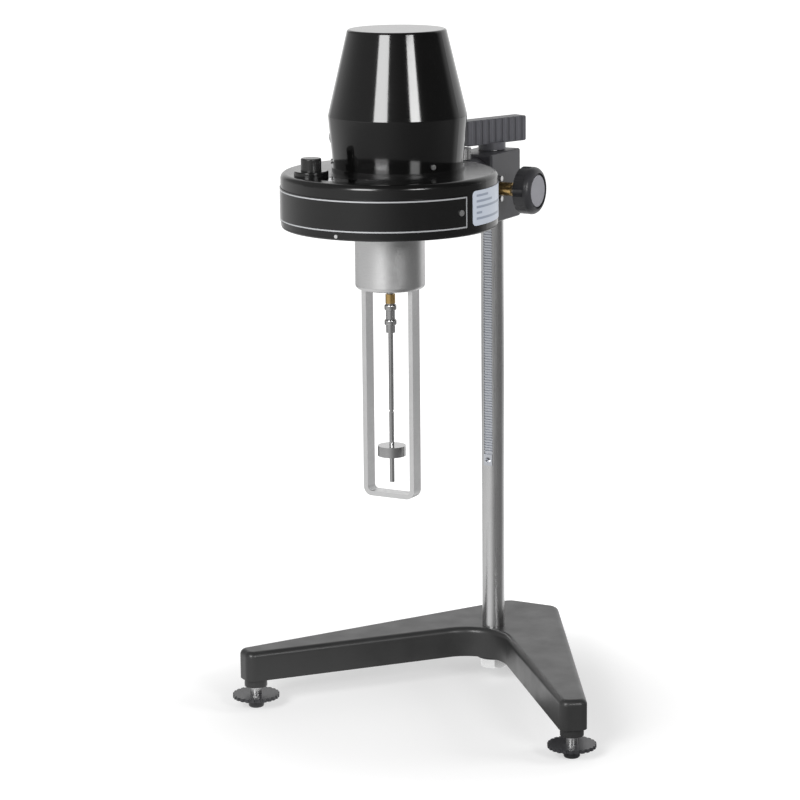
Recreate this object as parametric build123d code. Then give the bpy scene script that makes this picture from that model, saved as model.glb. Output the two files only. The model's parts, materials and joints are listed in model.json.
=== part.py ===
"""Dial rotational viscometer on a V-foot stand with a rack-and-pinion lift, in millimetres, +Z up.

The stand rests on z = 0 and the part's origin is the bottom centre of its bounding box.
Pieces are drawn about the column axis and moved to the origin when they are written.
The head hangs in front of the column, towards -Y. Angles called "bearing" start at the
front (-Y) and turn towards +X.
"""
from build123d import *
from math import cos, degrees, pi, radians, sin, sqrt
import os

os.makedirs("parts", exist_ok=True)

# Clearances
running = 0.05
sliding = 0.3
seat = 0.1
cut_margin = 1.0

# Base casting
base_top = 42.0
base_underside = 21.0
base_rear = 66.0
base_rear_half_width = 20.0
base_crotch = 3.0
crotch_round = 30.0
rear_round = 10.0
nose_round = 6.0
nose_half_width = 9.0
nose_length = 9.5
leg_splay = 35.0
base_wall = 5.0
base_deck = 7.0
base_edge_round = 4.0
foot_boss_radius = 8.0
foot_boss_bottom = 15.5
column_boss_radius = 12.0
column_boss_bottom = 19.0

# Levelling feet
front_foot_x = 122.5
front_foot_y = -128.7
rear_foot_y = 44.0
foot_screw_radius = 4.0
foot_screw_top = 33.0
wheel_radius = 16.4
wheel_bottom = 7.2
wheel_thickness = 2.4
foot_pad_radius = 5.5
foot_pad_round = 1.5
wheel_grips = 24
wheel_grip_radius = 1.0

# Column and rack
column_radius = 8.0
column_top = 385.7
spigot_radius = 6.0
nut_across_flats = 18.0
nut_height = 7.2
nut_stud_length = 8.0
rack_half_width = 3.2
rack_back = -4.0
rack_bottom = 161.0
rack_plain_end = 10.0
rack_hole_radius = 1.9
gear_module = 0.6
pinion_teeth = 32
tooth_root_share = 0.27
tooth_tip_share = 0.12
tooth_addendum = 1.0
tooth_dedendum = 1.25

# Column handle
handle_bearing = 158.0
handle_length = 54.0
handle_thickness = 12.0
handle_height = 17.5
handle_rib_pitch = 6.1
handle_rib_depth = 1.1
handle_rib_radius = 2.2
handle_edge_round = 1.2
handle_hub_radius = 9.5
handle_hub_height = 4.0
handle_stud_radius = 3.0
handle_stud_depth = 15.0

# Lift carriage
carriage_half_width = 15.0
carriage_front = -31.0
carriage_rear = 15.0
carriage_bottom = 338.0
carriage_height = 47.5
carriage_corner_round = 2.0
carriage_edge_round = 1.5
pinion_z = 361.0
pinion_side_gap = 0.4
shaft_radius = 3.0
bearing_plug_radius = 11.6
bearing_plug_inner_x = 6.5
bush_radius = 4.6
bush_length = 6.0
bush_collar_length = 9.5
plug_screw_offset = 7.0
plug_screw_radius = 1.9
plug_screw_shank = 1.1
plug_screw_proud = 1.2
plug_screw_length = 5.0
friction_pad_radius = 4.0
friction_pad_thickness = 2.6
friction_socket_radius = 1.7

# Lift knob
knob_radius = 16.35
knob_inner_x = 31.5
knob_length = 12.5
knob_face_round = 4.5
knob_back_round = 1.5
knob_flutes = 9
knob_flute_radius = 4.5
knob_flute_depth = 0.9
knob_recess_radius = 12.3
knob_recess_depth = 1.6
knob_cap_radius = 10.8
knob_cap_thickness = 1.2

# Head position and handle rod
head_offset = 150.0
rod_z = 370.0
rod_radius = 8.0
rod_boss_radius = 14.0
rod_boss_length = 28.0
rod_spigot_radius = 5.0
rod_pad_radius = 12.0
rod_pad_proud = 3.0
rod_pad_inner = 9.0
rod_nut_height = 5.0
rod_nut_across_flats = 15.0
clamp_screw_y = -46.0
clamp_screw_radius = 3.0
clamp_head_radius = 6.5
clamp_head_height = 7.5
clamp_grips = 12
clamp_grip_radius = 0.8

# Drum housing and top cover
drum_radius = 71.0
drum_bottom = 353.0
drum_wall = 3.5
drum_floor = 4.0
drum_height = 31.5
drum_bottom_round = 2.0
drum_bore = 10.0
cover_thickness = 4.5
cover_round = 3.6
cover_spigot_width = 3.0
cover_spigot_depth = 2.2
cover_hole = 16.0
window_half_angle = 25.0
window_width = 15.5
window_rim = 1.6
window_rim_angle = 2.0
glass_thickness = 2.0
front_pin_radius = 1.2
front_pin_height = 2.7

# Nameplate strip and side sticker
strip_thickness = 0.6
strip_bottom_gap = 5.0
strip_height = 21.7
strip_half_angle = 73.3
strip_screw_angle = 68.3
strip_screw_radius = 2.0
strip_screw_proud = 0.7
strip_screw_shank = 1.1
strip_screw_length = 2.6
sticker_thickness = 0.3
sticker_start_angle = 77.0
sticker_end_angle = 124.0
sticker_bottom_gap = 6.0
sticker_height = 22.5
sticker_round = 3.0

# Motor hood
hood_setback = 12.5
hood_ring_radius = 43.6
hood_ring_height = 1.8
hood_ring_width = 5.0
hood_base_radius = 42.6
hood_waist_radius = 45.6
hood_top_radius = 32.3
hood_waist_height = 33.5
hood_height = 89.5
hood_wall = 2.0
hood_edge_round = 1.8
hood_lip_width = 3.0
hood_lip_height = 7.0
hood_screw_z = 3.5
hood_screw_radius = 1.7
hood_screw_shank = 1.1
hood_screw_bearings = (60, 180, 300)
hood_screw_length = 5.2
hood_screw_proud = 0.9

# Speed knob
speed_bearing = -105.0
speed_knob_z = 15.5
speed_knob_radius = 8.2
speed_knob_length = 10.5
speed_knob_grips = 16
speed_knob_grip_radius = 0.6
speed_knob_round = 0.8
speed_shaft_radius = 2.5
speed_cam_radius = 4.2
speed_cam_reach = 29.5
speed_cam_thickness = 3.0

# Power inlet and rocker on the back of the hood
inlet_bearing = 160.0
rocker_bearing = -158.0
rear_fitting_z = 20.0
inlet_radius = 6.0
inlet_flange_radius = 8.0
inlet_flange_thickness = 1.6
inlet_recess_radius = 4.6
inlet_recess_depth = 6.0
inlet_depth = 9.0
inlet_pin_radius = 0.9
inlet_pin_spacing = 4.0
rocker_half_width = 4.5
rocker_sweep_radius = 7.0
rocker_pivot_depth = 3.0
rocker_proud = 1.8
rocker_back = 1.5
rocker_tilt = 8.0
rocker_pin_radius = 1.0
rocker_pin_length = 1.5
switch_wall = 2.5
switch_proud = 0.8
switch_pocket_depth = 6.8

# Pointer lock
lock_bearing = -40.0
lock_reach = 54.0
lock_collar_radius = 11.2
lock_collar_height = 3.2
lock_button_radius = 6.65
lock_button_height = 8.5
lock_travel = 2.8
lock_stem_radius = 2.0
lock_cup_radius = 5.0
lock_cup_depth = 5.0
lock_foot_radius = 3.2
lock_foot_height = 0.5
lock_edge_round = 0.8
lock_spring_radius = 3.9
lock_spring_wire = 0.4
lock_spring_turns = 4

# Spirit level
level_bearing = -108.0
level_gap = 1.8
level_radius = 6.5
level_proud = 0.4
level_depth = 3.6
level_glass_radius = 5.0
level_glass_thickness = 2.2

# Gearbox and motor
gearbox_plate_radius = 34.0
gearbox_plate_thickness = 2.0
gearbox_lower_z = 9.0
gearbox_gap = 24.0
gearbox_foot_radius = 2.5
gearbox_post_radius = 1.9
gearbox_tip_radius = 1.2
gearbox_post_reach = 29.0
gearbox_post_bearings = (-50, 50, 180)
drive_gear_teeth = 48
motor_gear_teeth = 16
lay_gear_teeth = 24
gearbox_module = 0.75
gear_width = 4.0
gear_z = 16.0
motor_radius = 24.0
motor_length = 24.0
motor_shaft_radius = 1.5
motor_shaft_inset = 10.0
motor_edge_round = 1.5
lay_gear_bearing = 120.0

# Dial, pointer and hairspring
dial_gap = 2.0
dial_thickness = 1.2
dial_drop = 9.4
dial_bore = 3.5
drive_shaft_radius = 3.0
yoke_hub_radius = 7.0
yoke_hub_height = 3.0
yoke_drop = 3.8
yoke_reach = 12.0
yoke_post_radius = 1.8
yoke_bearing = -32.0
pointer_window_reach = 1.5
pointer_width = 2.4
pointer_tip_width = 0.8
pointer_tail = 9.0
pointer_thickness = 0.7
pointer_hub_radius = 4.0
pointer_hub_height = 1.8
pointer_rise = 1.2
hairspring_inner = 3.0
hairspring_outer = 9.6
hairspring_turns = 3
hairspring_strip = 0.3
hairspring_height = 1.2
hairspring_drop = 3.3
hairspring_stud_radius = 1.0

# Neck collar, guard and spindle
collar_radius = 23.0
collar_bore = 19.3
collar_height = 41.5
collar_round = 3.0
bulkhead_thickness = 4.0
bulkhead_z = 20.0
bearing_radius = 5.0
bearing_height = 6.0
pivot_radius = 2.0
pivot_tip_radius = 0.8
pivot_tip_length = 1.2
guard_half_width = 19.0
guard_thickness = 3.2
guard_depth = 10.0
guard_bottom = 170.5
guard_corner_round = 6.0
guard_ring_width = 3.0
guard_ring_height = 9.0
nut_radius = 3.25
nut_bottom = 301.3
nut_length = 6.2
coupling_radius = 4.0
coupling_neck_radius = 3.0
coupling_length = 19.6
coupling_bead = 4.2
coupling_bead_pitch = 10.0
spindle_shaft_radius = 1.6
spindle_bottom = 180.4
disc_radius = 9.36
disc_thickness = 6.86
disc_z = 201.9
spindle_stud_radius = 2.0
bead_round = 1.2
mark_z = 228.8
mark_depth = 0.35
mark_height = 1.4

# Places worked out from the sizes
column_y = (head_offset + drum_radius + strip_thickness - base_rear) / 2
head_y = -head_offset
hood_y = head_y + hood_setback
drum_top = drum_bottom + drum_height
cover_top = drum_top + cover_thickness
hood_bottom = cover_top + hood_ring_height
carriage_top = carriage_bottom + carriage_height
pinion_half_width = rack_half_width - pinion_side_gap
pinion_radius = gear_module * pinion_teeth / 2
rack_pitch_y = -column_radius + gear_module
pinion_y = rack_pitch_y - pinion_radius
collar_bottom = drum_bottom - collar_height
dial_top = cover_top - dial_drop + dial_thickness
dial_radius = drum_radius - rod_pad_inner - dial_gap
window_outer = dial_radius
window_inner = window_outer - window_width
pointer_length = window_inner + pointer_window_reach
handle_bottom = column_top + sliding
boss_front = carriage_front - rod_boss_length


def rod(radius, start, end, at=(0, 0)):
    """Upright cylinder between two heights."""
    aligned = (Align.CENTER, Align.CENTER, Align.MIN)
    return Pos(at[0], at[1], start) * Cylinder(radius, end - start, align=aligned)


def rod_x(radius, start, end, y, z):
    """Cylinder along X between two values of x."""
    aligned = (Align.CENTER, Align.CENTER, Align.MIN)
    return Pos(start, y, z) * Rot(0, 90, 0) * Cylinder(radius, end - start, align=aligned)


def rod_y(radius, start, end, x, z):
    """Cylinder along Y between two values of y."""
    aligned = (Align.CENTER, Align.CENTER, Align.MIN)
    return Pos(x, start, z) * Rot(-90, 0, 0) * Cylinder(radius, end - start, align=aligned)


def ring(outer, inner, start, end, at=(0, 0)):
    """Upright tube between two heights."""
    return rod(outer, start, end, at) - rod(inner, start, end, at)


def block(x0, x1, y0, y1, z0, z1):
    """Box between corner values."""
    aligned = (Align.MIN, Align.MIN, Align.MIN)
    return Pos(x0, y0, z0) * Box(x1 - x0, y1 - y0, z1 - z0, align=aligned)


def on_bearing(shape, bearing, about=(0, 0)):
    """Turn a shape that was drawn facing the front about an upright axis."""
    return Pos(about[0], about[1], 0) * Rot(0, 0, bearing) * shape


def point_on_bearing(reach, bearing, about=(0, 0)):
    """Point at a distance and bearing from an upright axis."""
    turn = radians(bearing)
    return (about[0] + reach * sin(turn), about[1] - reach * cos(turn))


def turned_profile(points, at=(0, 0)):
    """Solid of revolution from (radius, height) points about an upright axis."""
    outline = Polyline(*[(r, 0, z) for r, z in points], close=True)
    return Pos(at[0], at[1], 0) * revolve(make_face(outline), Axis.Z)


def sector(inner, outer, bottom, top, start, end):
    """Part of a tube about the head axis, from one bearing to another."""
    section = Rectangle(outer - inner, top - bottom)
    profile = Plane.XZ * Pos((inner + outer) / 2, (bottom + top) / 2) * section
    return Pos(0, head_y, 0) * Rot(0, 0, start - 90) * revolve(profile, Axis.Z, revolution_arc=end - start)


def upright_edges(shape):
    return shape.edges().filter_by(Axis.Z)


def gear(teeth, module, bottom, top, bore, first_tooth=0.0):
    """Spur gear about the origin whose first tooth points at an angle from +X."""
    pitch_radius = module * teeth / 2
    root_radius = pitch_radius - tooth_dedendum * module
    tip_radius = pitch_radius + tooth_addendum * module
    flanks = (
        (root_radius, -tooth_root_share),
        (tip_radius, -tooth_tip_share),
        (tip_radius, tooth_tip_share),
        (root_radius, tooth_root_share),
    )
    points = []
    for index in range(teeth):
        for radius, share in flanks:
            angle = radians(first_tooth + (index + share) * 360 / teeth)
            points.append((radius * cos(angle), radius * sin(angle)))
    outline = make_face(Polyline(*points, close=True))
    return Pos(0, 0, bottom) * extrude(outline, amount=top - bottom) - rod(bore, bottom, top)


def hex_prism(across_flats, start, end):
    """Upright hexagonal prism about the origin."""
    hexagon = RegularPolygon(across_flats / 2, 6, major_radius=False)
    return Pos(0, 0, start) * extrude(hexagon, amount=end - start)


# Stand

def base_outline():
    """Plan of the V-shaped base."""
    splay = radians(leg_splay)
    along = (sin(splay), -cos(splay))
    across = (cos(splay), sin(splay))
    end = (front_foot_x + nose_length * along[0], front_foot_y + nose_length * along[1])
    inner = (end[0] - nose_half_width * across[0], end[1] - nose_half_width * across[1])
    outer = (end[0] + nose_half_width * across[0], end[1] + nose_half_width * across[1])
    right = [inner, outer, (base_rear_half_width, base_rear)]
    left = [(-x, y) for x, y in reversed(right)]
    plan = make_face(Polyline((0, base_crotch), *right, *left, close=True))
    plan = fillet(plan.vertices().sort_by_distance((0, base_crotch))[0], crotch_round)
    plan = fillet(plan.vertices().group_by(Axis.Y)[-1], rear_round)
    noses = [corner for corner in plan.vertices() if corner.Y < front_foot_y]
    return fillet(noses, nose_round)


feet = {
    "front_left": (-front_foot_x, front_foot_y),
    "front_right": (front_foot_x, front_foot_y),
    "rear": (0, rear_foot_y),
}


def make_base_casting():
    plan = base_outline()
    deck_underside = base_top - base_deck
    body = Pos(0, 0, base_underside) * extrude(plan, amount=base_top - base_underside)
    body = fillet(body.faces().sort_by(Axis.Z)[-1].edges(), base_edge_round)
    hollow = extrude(offset(plan, amount=-base_wall), amount=deck_underside - base_underside)
    body -= Pos(0, 0, base_underside) * hollow
    for place in feet.values():
        body += rod(foot_boss_radius, foot_boss_bottom, deck_underside, place)
    body += rod(column_boss_radius, column_boss_bottom, deck_underside)
    for place in feet.values():
        body -= rod(foot_screw_radius + running, foot_boss_bottom, foot_screw_top + sliding, place)
    return body - rod(spigot_radius + running, column_boss_bottom, base_top)


def make_foot_wheel(place):
    wheel_top = wheel_bottom + wheel_thickness
    wheel = rod(wheel_radius, wheel_bottom, wheel_top)
    for index in range(wheel_grips):
        grip = point_on_bearing(wheel_radius, index * 360 / wheel_grips)
        wheel -= rod(wheel_grip_radius, wheel_bottom, wheel_top, grip)
    pad = rod(foot_pad_radius, 0, wheel_bottom)
    wheel += fillet(pad.edges().group_by(Axis.Z)[0], foot_pad_round)
    wheel -= rod(foot_screw_radius + running, wheel_bottom / 2, wheel_top)
    return Pos(*place, 0) * wheel


def make_foot_screw(place):
    return rod(foot_screw_radius, wheel_bottom / 2, foot_screw_top, place)


def make_column():
    column = rod(column_radius, base_top, column_top)
    column += rod(spigot_radius, column_boss_bottom - nut_stud_length, base_top)
    slot_half_width = rack_half_width + running
    slot_front = -column_radius - cut_margin
    column -= block(-slot_half_width, slot_half_width, slot_front, rack_back, rack_bottom, column_top)
    return column - rod(handle_stud_radius + running, column_top - handle_stud_depth, column_top)


def make_column_nut():
    nut_bottom_z = column_boss_bottom - nut_height
    corner_radius = nut_across_flats / sqrt(3)
    rounded = rod(corner_radius, nut_bottom_z, column_boss_bottom)
    rounded = chamfer(rounded.edges().group_by(Axis.Z)[0], corner_radius - nut_across_flats / 2)
    nut = hex_prism(nut_across_flats, nut_bottom_z, column_boss_bottom) & rounded
    return nut - rod(spigot_radius + running, nut_bottom_z, column_boss_bottom)


def make_rack_strip():
    pitch = pi * gear_module
    tip_y = rack_pitch_y - tooth_addendum * gear_module
    root_y = rack_pitch_y + tooth_dedendum * gear_module
    first_tooth = pinion_z - pitch / 2
    below = int((first_tooth - rack_bottom - rack_plain_end) / pitch)
    above = int((column_top - first_tooth) / pitch)
    outline = [(rack_back, rack_bottom), (tip_y, rack_bottom), (tip_y, rack_bottom + rack_plain_end - pitch)]
    outline.append((root_y, rack_bottom + rack_plain_end - pitch))
    for index in range(-below, above):
        middle = first_tooth + index * pitch
        outline.append((root_y, middle - tooth_root_share * pitch))
        outline.append((tip_y, middle - tooth_tip_share * pitch))
        outline.append((tip_y, middle + tooth_tip_share * pitch))
        outline.append((root_y, middle + tooth_root_share * pitch))
    outline += [(root_y, column_top), (rack_back, column_top)]
    profile = make_face(Polyline(*[(0, y, z) for y, z in outline], close=True))
    strip = Pos(-rack_half_width, 0, 0) * extrude(profile, amount=2 * rack_half_width, dir=(1, 0, 0))
    return strip - rod_y(rack_hole_radius, tip_y, rack_back, 0, rack_bottom + rack_plain_end / 2 - pitch / 2)


def make_column_handle():
    bar_bottom = handle_bottom + handle_hub_height
    bar_top = bar_bottom + handle_height
    half_length = handle_length / 2
    half_thickness = handle_thickness / 2
    bar = block(-half_thickness, half_thickness, -half_length, half_length, bar_bottom, bar_top)
    bar = fillet(bar.edges(), handle_edge_round)
    groove_x = half_thickness + handle_rib_radius - handle_rib_depth
    grooves = int(handle_length / handle_rib_pitch)
    for index in range(grooves):
        groove_y = (index - (grooves - 1) / 2) * handle_rib_pitch
        for side in (-1, 1):
            bar -= rod(handle_rib_radius, bar_bottom, bar_top, (side * groove_x, groove_y))
    bar += rod(handle_hub_radius, handle_bottom, bar_bottom + handle_edge_round)
    bar -= rod(handle_stud_radius + running, handle_bottom, bar_bottom + handle_height / 2)
    return on_bearing(bar, handle_bearing)


def make_column_handle_stud():
    stud_bottom = column_top - handle_stud_depth + sliding
    return rod(handle_stud_radius, stud_bottom, handle_bottom + handle_hub_height + handle_height / 2)


# Lift carriage

def make_lift_carriage():
    half_width = carriage_half_width
    body = block(-half_width, half_width, carriage_front, carriage_rear, carriage_bottom, carriage_top)
    body = fillet(upright_edges(body), carriage_corner_round)
    body = fillet(body.edges().group_by(Axis.Z)[-1] + body.edges().group_by(Axis.Z)[0], carriage_edge_round)
    body += rod_y(rod_boss_radius, boss_front, carriage_front + carriage_corner_round, 0, rod_z)
    body -= rod(column_radius + running, carriage_bottom, carriage_top)
    tip_y = rack_pitch_y - tooth_addendum * gear_module
    slot = rack_half_width + sliding
    body -= block(-slot, slot, tip_y - sliding, 0, carriage_bottom, carriage_top)
    body -= rod_y(rod_radius + running, boss_front, carriage_front, 0, rod_z)
    cavity_start = -pinion_half_width - sliding
    body -= rod_x(bearing_plug_radius + running, cavity_start, half_width, pinion_y, pinion_z)
    body -= rod_x(bush_radius + running, -half_width, cavity_start, pinion_y, pinion_z)
    body -= rod_y(friction_pad_radius + running, 0, carriage_rear, 0, rod_z)
    boss_top = rod_z + rod_boss_radius
    return body - rod(clamp_screw_radius + running, rod_z, boss_top, (0, clamp_screw_y))


def make_bearing_plug():
    plug = rod_x(bearing_plug_radius, bearing_plug_inner_x, carriage_half_width, pinion_y, pinion_z)
    plug -= rod_x(bush_radius + running, bearing_plug_inner_x, carriage_half_width, pinion_y, pinion_z)
    hole_start = carriage_half_width - plug_screw_length
    for side in (-1, 1):
        height = pinion_z + side * plug_screw_offset
        plug -= rod_x(plug_screw_shank + running, hole_start, carriage_half_width, pinion_y, height)
    return plug


def make_pinion_bushes():
    outer_end = carriage_half_width + bush_collar_length
    right = rod_x(bush_radius, bearing_plug_inner_x, outer_end, pinion_y, pinion_z)
    left = rod_x(bush_radius, -carriage_half_width, -carriage_half_width + bush_length, pinion_y, pinion_z)
    bore = rod_x(shaft_radius + running, -carriage_half_width, outer_end, pinion_y, pinion_z)
    return Compound([right - bore, left - bore])


def make_bearing_plug_screws():
    start = carriage_half_width - plug_screw_length
    screws = []
    for side in (-1, 1):
        height = pinion_z + side * plug_screw_offset
        shank = rod_x(plug_screw_shank, start, carriage_half_width, pinion_y, height)
        head_end = carriage_half_width + plug_screw_proud
        screws.append(shank + rod_x(plug_screw_radius, carriage_half_width, head_end, pinion_y, height))
    return Compound(screws)


def make_friction_pad():
    start = column_radius + running
    return rod_y(friction_pad_radius, start, start + friction_pad_thickness, 0, rod_z)


def make_friction_screw():
    start = column_radius + running + friction_pad_thickness
    screw = rod_y(friction_pad_radius, start, carriage_rear, 0, rod_z)
    return screw - rod_y(friction_socket_radius, (start + carriage_rear) / 2, carriage_rear, 0, rod_z)


def make_pinion_shaft():
    knob_end = knob_inner_x + knob_length - knob_recess_depth
    return rod_x(shaft_radius, sliding - carriage_half_width, knob_end, pinion_y, pinion_z)


def make_pinion_gear():
    bore = shaft_radius + running
    wheel = gear(pinion_teeth, gear_module, -pinion_half_width, pinion_half_width, bore, 90)
    return Pos(0, pinion_y, pinion_z) * Rot(0, 90, 0) * wheel


def make_lift_knob():
    knob = rod(knob_radius, 0, knob_length)
    knob = fillet(knob.edges().group_by(Axis.Z)[-1], knob_face_round)
    knob = fillet(knob.edges().group_by(Axis.Z)[0], knob_back_round)
    flute_reach = knob_radius + knob_flute_radius - knob_flute_depth
    for index in range(knob_flutes):
        place = point_on_bearing(flute_reach, index * 360 / knob_flutes)
        knob -= rod(knob_flute_radius, 0, knob_length - knob_face_round, place)
    knob -= rod(knob_recess_radius, knob_length - knob_recess_depth, knob_length)
    knob -= rod(shaft_radius + running, 0, knob_length)
    return Pos(knob_inner_x, pinion_y, pinion_z) * Rot(0, 90, 0) * knob


def make_lift_knob_cap():
    start = knob_inner_x + knob_length - knob_recess_depth
    return rod_x(knob_cap_radius, start, start + knob_cap_thickness, pinion_y, pinion_z)


def make_rod_clamp_screw():
    head_bottom = rod_z + rod_boss_radius + sliding
    screw = rod(clamp_screw_radius, rod_z + rod_radius + running, head_bottom)
    head = rod(clamp_head_radius, head_bottom, head_bottom + clamp_head_height)
    for index in range(clamp_grips):
        grip = point_on_bearing(clamp_head_radius, index * 360 / clamp_grips)
        head -= rod(clamp_grip_radius, head_bottom, head_bottom + clamp_head_height, grip)
    return Pos(0, clamp_screw_y, 0) * (screw + head)


# Head housing

def make_handle_rod():
    pad_face = head_y + drum_radius + rod_pad_proud
    spigot_end = head_y + drum_radius - rod_pad_inner - rod_nut_height
    bar = rod_y(rod_radius, pad_face, carriage_front - sliding, 0, rod_z)
    return bar + rod_y(rod_spigot_radius, spigot_end, pad_face, 0, rod_z)


def make_rod_nut():
    nut = hex_prism(rod_nut_across_flats, 0, rod_nut_height)
    nut -= rod(rod_spigot_radius + running, 0, rod_nut_height)
    return Pos(0, head_y + drum_radius - rod_pad_inner, rod_z) * Rot(90, 0, 0) * nut


def strip_screw_height():
    return drum_bottom + strip_bottom_gap + strip_height / 2


def drum_screw_holes(radius):
    """Radial holes for the strip screws."""
    start = -drum_radius - cut_margin
    end = -drum_radius + strip_screw_length
    holes = []
    for bearing in (-strip_screw_angle, strip_screw_angle):
        hole = rod_y(radius, start, end, 0, strip_screw_height())
        holes.append(on_bearing(hole, bearing, (0, head_y)))
    return holes


def make_drum_housing():
    inner = drum_radius - drum_wall
    floor_top = drum_bottom + drum_floor
    drum = rod(drum_radius, drum_bottom, drum_top)
    drum = fillet(drum.edges().group_by(Axis.Z)[0], drum_bottom_round)
    drum -= rod(inner, floor_top, drum_top)
    drum -= rod(drum_bore, drum_bottom, floor_top)
    drum = Pos(0, head_y, 0) * drum
    back = head_y + drum_radius
    drum += rod_y(rod_pad_radius, back - rod_pad_inner, back + rod_pad_proud, 0, rod_z)
    drum -= rod_y(rod_spigot_radius + running, back - rod_pad_inner, back + rod_pad_proud, 0, rod_z)
    for hole in drum_screw_holes(strip_screw_shank + running):
        drum -= hole
    return drum - front_pin(front_pin_radius + running)


def front_pin(radius):
    """Small pin low on the front of the drum."""
    start = head_y - drum_radius - strip_thickness
    return rod_y(radius, start, start + strip_screw_length, 0, drum_bottom + front_pin_height)


def make_drum_screws():
    reach = drum_radius + strip_thickness
    screws = [front_pin(front_pin_radius)]
    for bearing in (-strip_screw_angle, strip_screw_angle):
        shank = rod_y(strip_screw_shank, -reach, -drum_radius + strip_screw_length, 0, strip_screw_height())
        head = rod_y(strip_screw_radius, -reach - strip_screw_proud, -reach, 0, strip_screw_height())
        screws.append(on_bearing(shank + head, bearing, (0, head_y)))
    return Compound(screws)


def make_nameplate_strip():
    bottom = drum_bottom + strip_bottom_gap
    outer = drum_radius + strip_thickness
    inner = drum_radius + seat
    strip = sector(inner, outer, bottom, bottom + strip_height, -strip_half_angle, strip_half_angle)
    for hole in drum_screw_holes(strip_screw_shank + running):
        strip -= hole
    return strip


def make_side_sticker():
    bottom = drum_bottom + sticker_bottom_gap
    inner = drum_radius + seat
    top = bottom + sticker_height
    label = sector(inner, inner + sticker_thickness, bottom, top, sticker_start_angle, sticker_end_angle)
    corners = [edge for edge in label.edges() if edge.length < 2 * sticker_thickness]
    return fillet(corners, sticker_round)


def window_sector(bottom, top, margin, angle_margin):
    half_angle = window_half_angle - angle_margin
    return sector(window_inner + margin, window_outer - margin, bottom, top, -half_angle, half_angle)


def make_top_cover():
    cover = rod(drum_radius, drum_top, cover_top)
    cover = fillet(cover.edges().group_by(Axis.Z)[-1], cover_round)
    spigot_outer = drum_radius - drum_wall - seat
    cover += ring(spigot_outer, spigot_outer - cover_spigot_width, drum_top - cover_spigot_depth, drum_top)
    cover -= rod(cover_hole, drum_top, cover_top)
    cover = Pos(0, head_y, 0) * cover
    cover -= window_sector(drum_top, cover_top, window_rim, window_rim_angle)
    cover -= window_sector(cover_top - glass_thickness, cover_top, 0, 0)
    lock_place = point_on_bearing(lock_reach, lock_bearing, (0, head_y))
    cover -= rod(lock_stem_radius + running, drum_top, cover_top, lock_place)
    return cover - rod(level_radius + running, cover_top - level_depth, cover_top, level_place())


def make_window_glass():
    angle_margin = degrees(seat / window_inner)
    return window_sector(cover_top - glass_thickness, cover_top - seat, seat, angle_margin)


def make_hood_base_ring():
    lip_outer = hood_base_radius - hood_wall - seat
    inner = hood_ring_radius - hood_ring_width
    body = ring(hood_ring_radius, inner, cover_top, hood_bottom)
    body += ring(lip_outer, lip_outer - hood_lip_width, cover_top, hood_bottom + hood_lip_height)
    body = Pos(0, hood_y, 0) * body
    for bearing in hood_screw_bearings:
        body -= on_bearing(hood_screw(hood_screw_shank + running, 0), bearing, (0, hood_y))
    return body


def hood_outer_radius(height):
    """Outer radius of the hood below its waist."""
    return hood_base_radius + (hood_waist_radius - hood_base_radius) * height / hood_waist_height


def hood_screw(shank_radius, head_radius):
    """Radial hood screw drawn facing the front; without a head it is the hole."""
    surface = hood_outer_radius(hood_screw_z + hood_screw_radius)
    height = hood_bottom + hood_screw_z
    screw = rod_y(shank_radius, -surface - hood_screw_proud, hood_screw_length - surface, 0, height)
    if head_radius:
        screw += rod_y(head_radius, -surface - hood_screw_proud, -surface, 0, height)
    return screw


def make_hood_screws():
    screws = []
    for bearing in hood_screw_bearings:
        screws.append(on_bearing(hood_screw(hood_screw_shank, hood_screw_radius), bearing, (0, hood_y)))
    return Compound(screws)


def hood_cone(widening=0.0):
    """Solid outer shape of the hood about its own axis, without its rounds."""
    waist_z = hood_bottom + hood_waist_height
    top_z = hood_bottom + hood_height
    outline = [(0, hood_bottom), (hood_base_radius + widening, hood_bottom)]
    outline += [(hood_waist_radius + widening, waist_z), (hood_top_radius + widening, top_z), (0, top_z)]
    return turned_profile(outline)


def make_motor_hood():
    ceiling = hood_bottom + hood_height - hood_wall
    hood = hood_cone()
    hood = fillet(hood.edges().filter_by(GeomType.CIRCLE).group_by(Axis.Z)[1:3], hood_edge_round)
    inside = hood_cone(-hood_wall) & rod(hood_waist_radius, hood_bottom, ceiling)
    hood = Pos(0, hood_y, 0) * (hood - inside)
    for bearing in hood_screw_bearings:
        hood -= on_bearing(hood_screw(hood_screw_shank + running, 0), bearing, (0, hood_y))
    fitting_z = hood_bottom + rear_fitting_z
    knob_hole = rod_y(speed_shaft_radius + running, -hood_waist_radius, 0, 0, hood_bottom + speed_knob_z)
    inlet_hole = rod_y(inlet_radius + running, -hood_waist_radius, 0, 0, fitting_z)
    switch_hole = switch_block(-hood_waist_radius, 0, seat)
    hood -= on_bearing(knob_hole, speed_bearing, (0, hood_y))
    hood -= on_bearing(inlet_hole, inlet_bearing, (0, hood_y))
    return hood - on_bearing(switch_hole, rocker_bearing, (0, hood_y))


# Fittings on the hood

def make_power_inlet():
    surface = hood_outer_radius(rear_fitting_z)
    face = -surface - inlet_flange_thickness
    height = hood_bottom + rear_fitting_z
    flange = rod_y(inlet_flange_radius, face, inlet_depth - surface, 0, height) - hood_cone(seat)
    body = flange + rod_y(inlet_radius, face, inlet_depth - surface, 0, height)
    body -= rod_y(inlet_recess_radius, face, face + inlet_recess_depth, 0, height)
    for side in (-1, 1):
        x = side * inlet_pin_spacing / 2
        body += rod_y(inlet_pin_radius, face + inlet_flange_thickness, face + inlet_recess_depth, x, height)
    return on_bearing(body, inlet_bearing, (0, hood_y))


def rocker_pivot():
    """Distance of the rocker's pivot from the hood axis, and its height."""
    return hood_outer_radius(rear_fitting_z) - rocker_pivot_depth, hood_bottom + rear_fitting_z


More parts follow.
